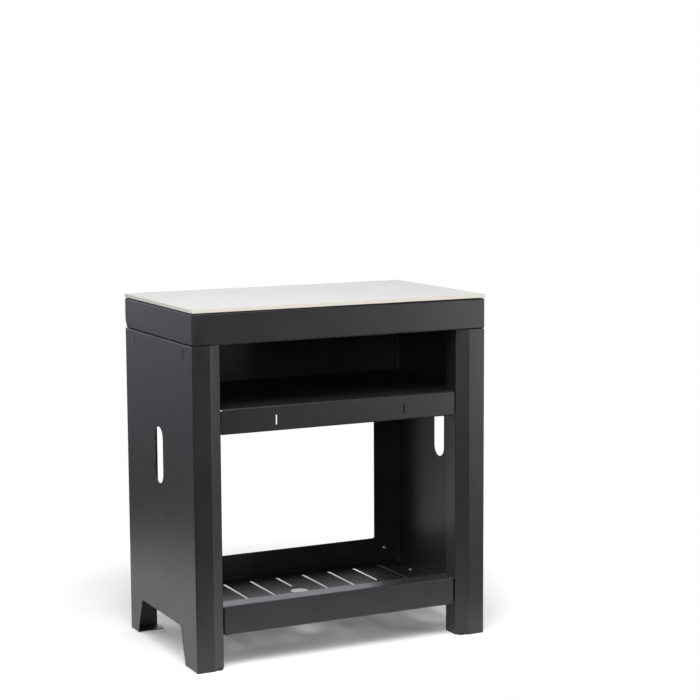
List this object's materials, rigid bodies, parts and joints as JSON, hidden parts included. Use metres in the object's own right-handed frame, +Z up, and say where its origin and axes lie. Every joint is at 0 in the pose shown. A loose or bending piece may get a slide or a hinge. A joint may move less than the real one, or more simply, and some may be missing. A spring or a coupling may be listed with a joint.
{
  "type": "outdoor kitchen base unit",
  "caption": "Open-fronted base unit of folded black sheet steel with a shallow upper bay, a tall lower bay, a vented bottom shelf, folded legs and a thin pale worktop.",
  "frame": {"origin": "on the floor, under the centre of the whole unit's bounding box", "axes": "+X to the unit's right seen from the front, +Y to its back, +Z up; the open front faces -Y"},
  "size_m": [0.8, 0.4736, 0.885],
  "materials": {
    "black_powder_coat": "satin black powder coat with a fine texture",
    "ceramic_worktop": "matte off-white sintered ceramic",
    "stainless_fasteners": "plain stainless steel",
    "rubber_pads": "matte black"
  },
  "bodies": {
    "root": {"back_low_left_bolt": "stainless_fasteners", "back_low_left_nut": "stainless_fasteners", "back_low_right_bolt": "stainless_fasteners", "back_low_right_nut": "stainless_fasteners", "back_panel": "black_powder_coat", "back_top_left_bolt": "stainless_fasteners", "back_top_left_nut": "stainless_fasteners", "back_top_right_bolt": "stainless_fasteners", "back_top_right_nut": "stainless_fasteners", "bottom_shelf": "black_powder_coat", "floor_front_left_bolt": "stainless_fasteners", "floor_front_left_nut": "stainless_fasteners", "floor_front_right_bolt": "stainless_fasteners", "floor_front_right_nut": "stainless_fasteners", "floor_rear_left_bolt": "stainless_fasteners", "floor_rear_left_nut": "stainless_fasteners", "floor_rear_right_bolt": "stainless_fasteners", "floor_rear_right_nut": "stainless_fasteners", "mid_front_left_bolt": "stainless_fasteners", "mid_front_left_nut": "stainless_fasteners", "mid_front_right_bolt": "stainless_fasteners", "mid_front_right_nut": "stainless_fasteners", "mid_rear_left_bolt": "stainless_fasteners", "mid_rear_left_nut": "stainless_fasteners", "mid_rear_right_bolt": "stainless_fasteners", "mid_rear_right_nut": "stainless_fasteners", "mid_shelf": "black_powder_coat", "side_panel_left": "black_powder_coat", "side_panel_right": "black_powder_coat", "top_stiffener_left": "black_powder_coat", "top_stiffener_right": "black_powder_coat", "top_tray": "black_powder_coat", "tray_front_left_bolt": "stainless_fasteners", "tray_front_left_nut": "stainless_fasteners", "tray_front_right_bolt": "stainless_fasteners", "tray_front_right_nut": "stainless_fasteners", "tray_rear_left_bolt": "stainless_fasteners", "tray_rear_left_nut": "stainless_fasteners", "tray_rear_right_bolt": "stainless_fasteners", "tray_rear_right_nut": "stainless_fasteners", "worktop_pad_front_left": "rubber_pads", "worktop_pad_front_right": "rubber_pads", "worktop_pad_rear_left": "rubber_pads", "worktop_pad_rear_right": "rubber_pads", "worktop_slab": "ceramic_worktop"}
  },
  "joints": []
}
